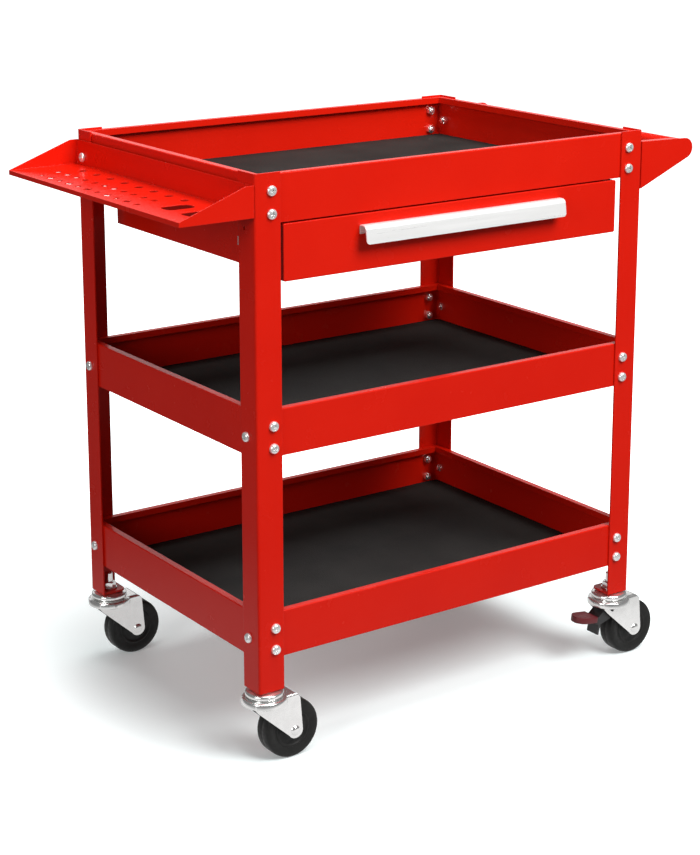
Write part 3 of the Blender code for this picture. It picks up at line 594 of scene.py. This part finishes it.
def wheel_mesh():
    """Moulded wheel with a hub boss, a raised ring on each side and a gently crowned tread."""
    side = [
        (0.0041, 0.0146),
        (0.0084, 0.0146),
        (0.0092, 0.0140),
        (0.0096, 0.0120),
        (0.0104, 0.0113),
        (0.0185, 0.0104),
        (0.0200, 0.0106),
        (0.0212, 0.0118),
        (0.0224, 0.0123),
        (0.0234, 0.0119),
        (0.0240, 0.0112),
        (0.0250, 0.0113),
        (0.0275, 0.0122),
        (0.0308, 0.0129),
        (0.0335, 0.0130),
        (0.0350, 0.0126),
        (0.0361, 0.0117),
        (0.0369, 0.0104),
        (0.0373, 0.0088),
        (WHEEL_RADIUS, 0.0070),
        (WHEEL_RADIUS, 0.0004),
        (0.03735, 0.0),
    ]
    ring = side + [(radius, -height) for radius, height in side[-2::-1]]
    bm = bmesh.new()
    add_turned(bm, ring, 96, closed=True)
    mesh = mesh_of("wheel", bm)
    mesh.transform(Matrix.Rotation(math.pi / 2, 4, "X"))
    return shaded(mesh, 50)


def stem_mesh():
    """Dust dome and ball race above the fork. The threaded stem rises from it into the leg."""
    race = FORK_TOP - 0.0003
    profile = [
        (0, 0.0245),
        (0.0040, 0.0245),
        (0.0050, 0.0236),
        (0.0050, -0.0003),
        (0.0118, -0.0003),
        (0.0130, -0.0008),
        (0.0200, -0.0024),
        (0.0222, -0.0030),
        (0.0233, -0.0038),
        (0.0238, -0.0050),
        (0.0238, -race + 0.0022),
        (0.0234, -race + 0.0016),
        (0.0204, -race + 0.0016),
        (0.0204, -race),
        (0.0040, -race),
        (0.0040, -0.0128),
        (0.0075, -0.0128),
        (0.0062, -0.0148),
        (0, -0.0154),
    ]
    bm = bmesh.new()
    add_turned(bm, profile, 64)
    return shaded(mesh_of("stem", bm), 40)


def fork_mesh():
    """Pressed fork: a round top with a skirt, and two creased, tapering arms bent down from it."""
    top = -FORK_TOP
    bend = 0.0036
    low = -0.080
    path = [(-FORK_OUTER, low), (-FORK_OUTER, top), (FORK_OUTER, top), (FORK_OUTER, low)]
    channel = folded(rounded(path, [bend, bend]), -FORK_SHEET)
    bm = bmesh.new()
    add_prism(bm, channel, -0.030, 0.050, "X")
    channel = mesh_of("fork", bm)
    rear = rounded([(0.0100, top), (0.0392, top), (0.0420, -0.0400)], [0.0075])[1:-1]
    outline = [(-0.0235, top), *rear]
    outline += arc((TRAIL, -AXLE_DROP), 0.0102, 8, -150, 18)
    outline += [(-0.0170, -0.0262), (-0.0222, -0.0205)]
    bm = bmesh.new()
    add_prism(bm, outline, -0.03, 0.03, "Y")
    fork = combined("fork", channel, mesh_of("fork_side", bm), "INTERSECT")
    skirt = [
        (STEM_HOLE, top),
        (0.0240, top),
        (0.0262, top - 0.0004),
        (0.0277, top - 0.0015),
        (DOME_RADIUS, top - 0.0035),
        (DOME_RADIUS, top - 0.0080),
        (DOME_RADIUS - 0.0006, top - 0.0086),
        (DOME_RADIUS - FORK_SHEET, top - 0.0080),
        (DOME_RADIUS - FORK_SHEET, top - 0.0036),
        (DOME_RADIUS - 0.0036, top - FORK_SHEET),
        (STEM_HOLE, top - FORK_SHEET),
    ]
    bm = bmesh.new()
    add_turned(bm, skirt, 64, closed=True)
    fork = combined("fork", fork, mesh_of("fork_dome", bm), "UNION")
    bm = bmesh.new()
    add_turned(bm, [(0, 0), (STEM_HOLE, 0), (STEM_HOLE, -0.03), (0, -0.03)], 24)
    fork = combined("fork", fork, mesh_of("fork_hole", bm), "DIFFERENCE")
    bm = bmesh.new()
    bm.from_mesh(fork)
    everything = bm.verts[:] + bm.edges[:] + bm.faces[:]
    bmesh.ops.bisect_plane(bm, geom=everything, plane_co=(CREASE_X, 0, 0), plane_no=(1, 0, 0))
    for vert in bm.verts:
        beyond = vert.co.x - CREASE_X
        if beyond > 0 and vert.co.z < top - 0.004:
            vert.co.y += math.copysign(beyond * ARM_SPREAD, vert.co.y)
    return shaded(mesh_of("fork", bm), 28)


def axle_mesh():
    """Round-headed axle bolt, with its nut on the other side."""
    outer = FORK_OUTER + 0.0003
    bm = bmesh.new()
    add_turned(
        bm,
        [
            (0, outer + 0.0035),
            (0.0024, outer + 0.0034),
            (0.0044, outer + 0.0028),
            (0.0058, outer + 0.0016),
            (0.0064, outer + 0.0006),
            (0.0064, outer),
            (AXLE_RADIUS, outer),
            (AXLE_RADIUS, -outer),
            (0.0075, -outer),
            (0.0075, -outer - 0.0009),
            (0, -outer - 0.0009),
        ],
        40,
    )
    pin = mesh_of("axle", bm)
    bm = bmesh.new()
    bm.from_mesh(pin)
    nut = nut_mesh(0.0066, 0.0042, 0.0030, 0.0008)
    nut.transform(Matrix.Translation((0, 0, -outer - 0.0008)))
    bm.from_mesh(nut)
    mesh = mesh_of("axle", bm)
    mesh.transform(Matrix.Rotation(math.pi / 2, 4, "X"))
    return shaded(mesh, 40)


def stem_nut_mesh():
    """Flanged hex nut that holds the stem in the foot plate."""
    nut = nut_mesh(0.0092, 0.0086, 0.0051, 0.0010)
    nut.transform(Matrix.Rotation(math.pi, 4, "X"))
    bm = bmesh.new()
    bm.from_mesh(nut)
    flange = [(0.0052, 0.0016), (0.0100, 0.0016), (0.0108, 0.0010), (0.0108, 0), (0.0052, 0)]
    add_turned(bm, flange, 32, closed=True)
    return shaded(mesh_of("stem_nut", bm))


def pedal_mesh():
    """Moulded pedal cap: a D in plan with a raised rim."""
    plan = arc((PEDAL_END + PEDAL_HALF, 0), PEDAL_HALF, 90, 270, 24)
    plan += [(PEDAL_START, -PEDAL_HALF), (PEDAL_START, PEDAL_HALF)]
    bm = bmesh.new()
    add_prism(bm, plan, -0.0043, 0.0043, "Z")
    bmesh.ops.recalc_face_normals(bm, faces=bm.faces)
    top = max(bm.faces, key=lambda face: face.calc_center_median().z)
    bmesh.ops.inset_region(bm, faces=[top], thickness=0.0022, depth=0.0)
    inner = max(
        (face for face in bm.faces if face.calc_center_median().z > 0.004),
        key=lambda face: face.calc_area(),
    )
    bmesh.ops.translate(bm, verts=inner.verts[:], vec=(0, 0, -0.0009))
    mesh = mesh_of("pedal", bm)
    return shaded(bevelled(mesh, 0.0008, 3), 40)


WHEEL = wheel_mesh()
STEM = stem_mesh()
FORK = fork_mesh()
AXLE = axle_mesh()
STEM_NUT = stem_nut_mesh()
PEDAL = pedal_mesh()


def add_caster(corner):
    """Wheel, fork, axle, stem and nut of a corner's caster, and its brake pedal if it has one."""
    swivel = Matrix.Translation(JOINTS["swivel_" + corner]["pos_m"])
    axle = Matrix.Translation(JOINTS["spin_" + corner]["pos_m"])
    seat = swivel @ Matrix.Translation((0, 0, STEM_NUT_RISE))
    wheel_node = ("caster_wheel_" + corner,)
    piece("wheel_fine_" + corner, WHEEL, "wheel_" + corner, "wheel_rubber", axle, wheel_node)
    for part, mesh, body, place, node in (
        ("fork", FORK, "fork_" + corner, swivel, "caster_fork_"),
        ("axle", AXLE, "fork_" + corner, axle, "caster_axle_"),
        ("stem", STEM, "chassis", swivel, "caster_stem_"),
        ("stem_nut", STEM_NUT, "chassis", seat, "caster_nut_"),
    ):
        name = f"{part}_fine_{corner}"
        piece(name, mesh, body, "bright_zinc", place, (node + corner,), CASTER_ZINC)
    if corner in BRAKED:
        pivot = Vector(JOINTS["brake_" + corner]["pos_m"])
        tilt = Matrix.Rotation(math.atan2(*PEDAL_RISE), 4, "Y")
        place = Matrix.Translation(pivot - Vector((0, 0, PEDAL_DROP))) @ tilt
        pedal_node = ("brake_pedal_" + corner,)
        piece("pedal_fine_" + corner, PEDAL, "brake_" + corner, "brake_plastic", place, pedal_node)


# ---------------------------------------------------------------- tube and pull


def add_tube():
    """Round handle tube with eased ends."""
    low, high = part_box("handle_tube")
    middle = (low + high) / 2
    radius = (high.z - low.z) / 2
    half = (high.y - low.y) / 2
    wall = 0.0012
    ease = 0.0004
    bm = bmesh.new()
    add_turned(
        bm,
        [
            (radius - ease, half),
            (radius, half - ease),
            (radius, -half + ease),
            (radius - ease, -half),
            (radius - wall, -half),
            (radius - wall, half),
        ],
        64,
        closed=True,
    )
    mesh = mesh_of("tube", bm)
    mesh.transform(Matrix.Rotation(math.pi / 2, 4, "X"))
    place = Matrix.Translation(middle)
    piece("handle_tube_fine", shaded(mesh), "chassis", "red_powder_coat", place, ("handle_tube",))


def add_pull():
    """Bent sheet pull, with a long soft bend at its top front edge and rounded corners."""
    low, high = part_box("drawer_pull")
    sheet = 0.0012
    plate = high.y
    front = low.y
    lip = 0.011
    flare = 0.0030
    path = [(plate, high.z - lip), (plate, high.z), (front + flare, high.z), (front, low.z)]
    outline = folded(rounded(path, [0.0016, 0.0062], 10), sheet)
    bm = bmesh.new()
    add_prism(bm, outline, low.x, high.x, "X")
    mesh = mesh_of("pull", bm)
    corner = 0.0045
    half = (high.x - low.x) / 2
    tall = 0.030
    centre = ((low.x + high.x) / 2, low.z + tall)
    shape = []
    for sx, sz, first in ((1, 1, 0), (-1, 1, 90), (-1, -1, 180), (1, -1, 270)):
        middle = (centre[0] + sx * (half - corner), centre[1] + sz * (tall - corner))
        shape += arc(middle, corner, first, first + 90, 8)
    bm = bmesh.new()
    add_prism(bm, shape, front - 0.01, plate + 0.01, "Y")
    mesh = combined("pull", mesh, mesh_of("pull_corners", bm), "INTERSECT")
    piece("drawer_pull_fine", shaded(mesh, 30), "drawer", "polished_steel", None, ("drawer_pull",))


def add_slide_hook(side, edge, inward):
    """Bright hook of the slide, standing through the slot of the drawer hanger."""
    wide, narrow = 0.0024, 0.0013
    tall, neck = 0.0052, 0.0036
    outline = [(-wide, tall), (wide, tall), (narrow, neck), (narrow, -neck)]
    outline += [(wide, -tall), (-wide, -tall), (-narrow, -neck), (-narrow, neck)]
    middle = (FRONT_Y + HOOK_BACK, LEG_TOP_Z - HOOK_DROP)
    across = sorted(edge + inward * reach for reach in HOOK_REACH)
    bm = bmesh.new()
    add_prism(bm, [(middle[0] + u, middle[1] + v) for u, v in outline], *across, "X")
    mesh = shaded(bevelled(mesh_of("slide_hook_" + side, bm), 0.0003))
    piece("slide_hook_" + side, mesh, "chassis", "bright_zinc")


# ---------------------------------------------------------------- assembly

for row in frame["record"]["subparts"]:
    node = NODES[row["node"]]
    node.data.materials.clear()
    node.data.materials.append(LOOKS[row["material_slot"]])

for corner_name in CORNERS:
    corner_bolts(corner_name)
    add_caster(corner_name)
add_tube()
add_pull()
add_slide_hook("left", LEFT_X, 1)
add_slide_hook("right", RIGHT_X, -1)


# ---------------------------------------------------------------- floor, light and camera

FLOOR_HALF = 5.0
WORLD_LIGHT = 0.14
WORLD_SEEN = 1.05
CAMERA_AZIMUTH = 35.11
CAMERA_ELEVATION = 13.28
CAMERA_DISTANCE = 2.609
# The camera's aim, from the left legs, the front legs and the leg tops.
CAMERA_AIM = (0.2722, 0.200, -0.2195)
LENS = 84.34
LENS_SHIFT = -0.15


def pale_floor():
    """Pale floor under a bright background: white to the camera, and a softer grey in reflections. It glows: to
    the camera dimly near the cart and white farther out, a painted shade under the cart with painted light around
    it, and to glossy rays near the cart, painted light that shows in reflections.
    """
    look = Look("pale_floor_look", (0.90, 0.90, 0.90), 0.7)
    rays = look.add("ShaderNodeLightPath").outputs
    # The camera sees a faintly cyan floor, so that the red light bounced into the shade under the cart shows grey.
    pale = look.mix(look.noise(3.0, 4.0), (0.83, 0.91, 0.91), (0.85, 0.93, 0.93))
    look.colour(look.mix(rays["Is Camera Ray"], (0.16, 0.16, 0.16), pale))
    look.roughness(look.ramp(look.noise(20.0, 3.0), 0.66, 0.76))
    look.put("Specular IOR Level", 0.1)
    look.put("Emission Color", (1.0, 1.0, 1.0, 1.0))
    away = look.add("ShaderNodeVectorMath", operation="LENGTH")
    look.join(look.where, away.inputs[0])
    # Camera glow: 0.18 within 0.36 m of the centre, rising to 1.05 at 0.85 m. This is a painted shade under the
    # cart, and painted light that whitens the floor around it.
    painted_camera_glow = look.add("ShaderNodeMath", operation="MULTIPLY")
    look.join(look.ramp(away.outputs["Value"], 0.18, 1.05, 0.36, 0.85), painted_camera_glow.inputs[0])
    look.join(rays["Is Camera Ray"], painted_camera_glow.inputs[1])
    # Glossy rays see the floor near the cart glow, up to 0.62: painted light that shows in the cart's reflections.
    painted_floor_glow = look.add("ShaderNodeMath", operation="MULTIPLY_ADD")
    look.join(look.ramp(away.outputs["Value"], 0.62, 0.0, 0.50, 0.85), painted_floor_glow.inputs[0])
    look.join(rays["Is Glossy Ray"], painted_floor_glow.inputs[1])
    look.join(painted_camera_glow.outputs["Value"], painted_floor_glow.inputs[2])
    look.join(painted_floor_glow.outputs["Value"], look.shader.inputs["Emission Strength"])
    bm = bmesh.new()
    bmesh.ops.create_grid(bm, x_segments=4, y_segments=4, size=FLOOR_HALF)
    floor = new_object("pale_floor", mesh_of("pale_floor", bm))
    floor.data.materials.append(look.material)


def soft_light(name, spot, aim, size, power, only_glossy=False):
    """Rectangular lamp that the camera doesn't see. It can be made to show in reflections only."""
    data = bpy.data.lights.new(name, "AREA")
    data.shape = "RECTANGLE"
    data.size, data.size_y = size
    data.energy = power
    lamp = bpy.data.objects.new(name, data)
    bpy.context.scene.collection.objects.link(lamp)
    lamp.location = spot
    lamp.rotation_euler = (Vector(aim) - Vector(spot)).to_track_quat("-Z", "Y").to_euler()
    lamp.visible_camera = False
    lamp.visible_diffuse = not only_glossy


def studio():
    """White surroundings, brighter to the camera than as light, and five soft lamps."""
    world = bpy.data.worlds.new("studio")
    bpy.context.scene.world = world
    world.use_nodes = True
    tree = world.node_tree
    background = tree.nodes["Background"]
    background.inputs["Color"].default_value = (1.0, 1.0, 1.0, 1.0)
    rays = tree.nodes.new("ShaderNodeLightPath")
    strength = tree.nodes.new("ShaderNodeMapRange")
    strength.inputs["To Min"].default_value = WORLD_LIGHT
    strength.inputs["To Max"].default_value = WORLD_SEEN
    tree.links.new(rays.outputs["Is Camera Ray"], strength.inputs["Value"])
    tree.links.new(strength.outputs["Result"], background.inputs["Strength"])
    soft_light("key", (0.7, -2.7, 3.1), (0, 0, 0.35), (2.0, 2.0), 160)
    soft_light("fill", (-3.0, -1.0, 1.5), (0, 0, 0.4), (1.4, 1.4), 34)
    soft_light("overhead", (0.1, 0.0, 3.2), (0, 0, 0), (2.6, 2.0), 78)
    behind = ((1.5, 3.6, 1.4), (0, 0, 0.6), (4.5, 1.6))
    soft_light("back", *behind, 14)
    soft_light("rim", *behind, 120, True)
    bpy.context.scene.view_settings.view_transform = "Standard"


def camera():
    """The photo keeps its verticals parallel, so part of the downward aim is a lens shift."""
    azimuth, elevation = math.radians(CAMERA_AZIMUTH), math.radians(CAMERA_ELEVATION)
    forward = Vector(
        (
            math.sin(azimuth) * math.cos(elevation),
            math.cos(azimuth) * math.cos(elevation),
            -math.sin(elevation),
        )
    )
    target = Vector((LEFT_X, FRONT_Y, LEG_TOP_Z)) + Vector(CAMERA_AIM)
    data = bpy.data.cameras.new("camera")
    data.sensor_fit = "AUTO"
    data.sensor_width = 36.0
    data.lens = LENS
    data.shift_y = LENS_SHIFT
    data.clip_start, data.clip_end = 0.05, 60.0
    made = bpy.data.objects.new("camera", data)
    bpy.context.scene.collection.objects.link(made)
    made.location = target - forward * CAMERA_DISTANCE
    made.rotation_euler = forward.to_track_quat("-Z", "Y").to_euler()
    bpy.context.scene.camera = made


pale_floor()
studio()
camera()

bpy.context.view_layer.update()
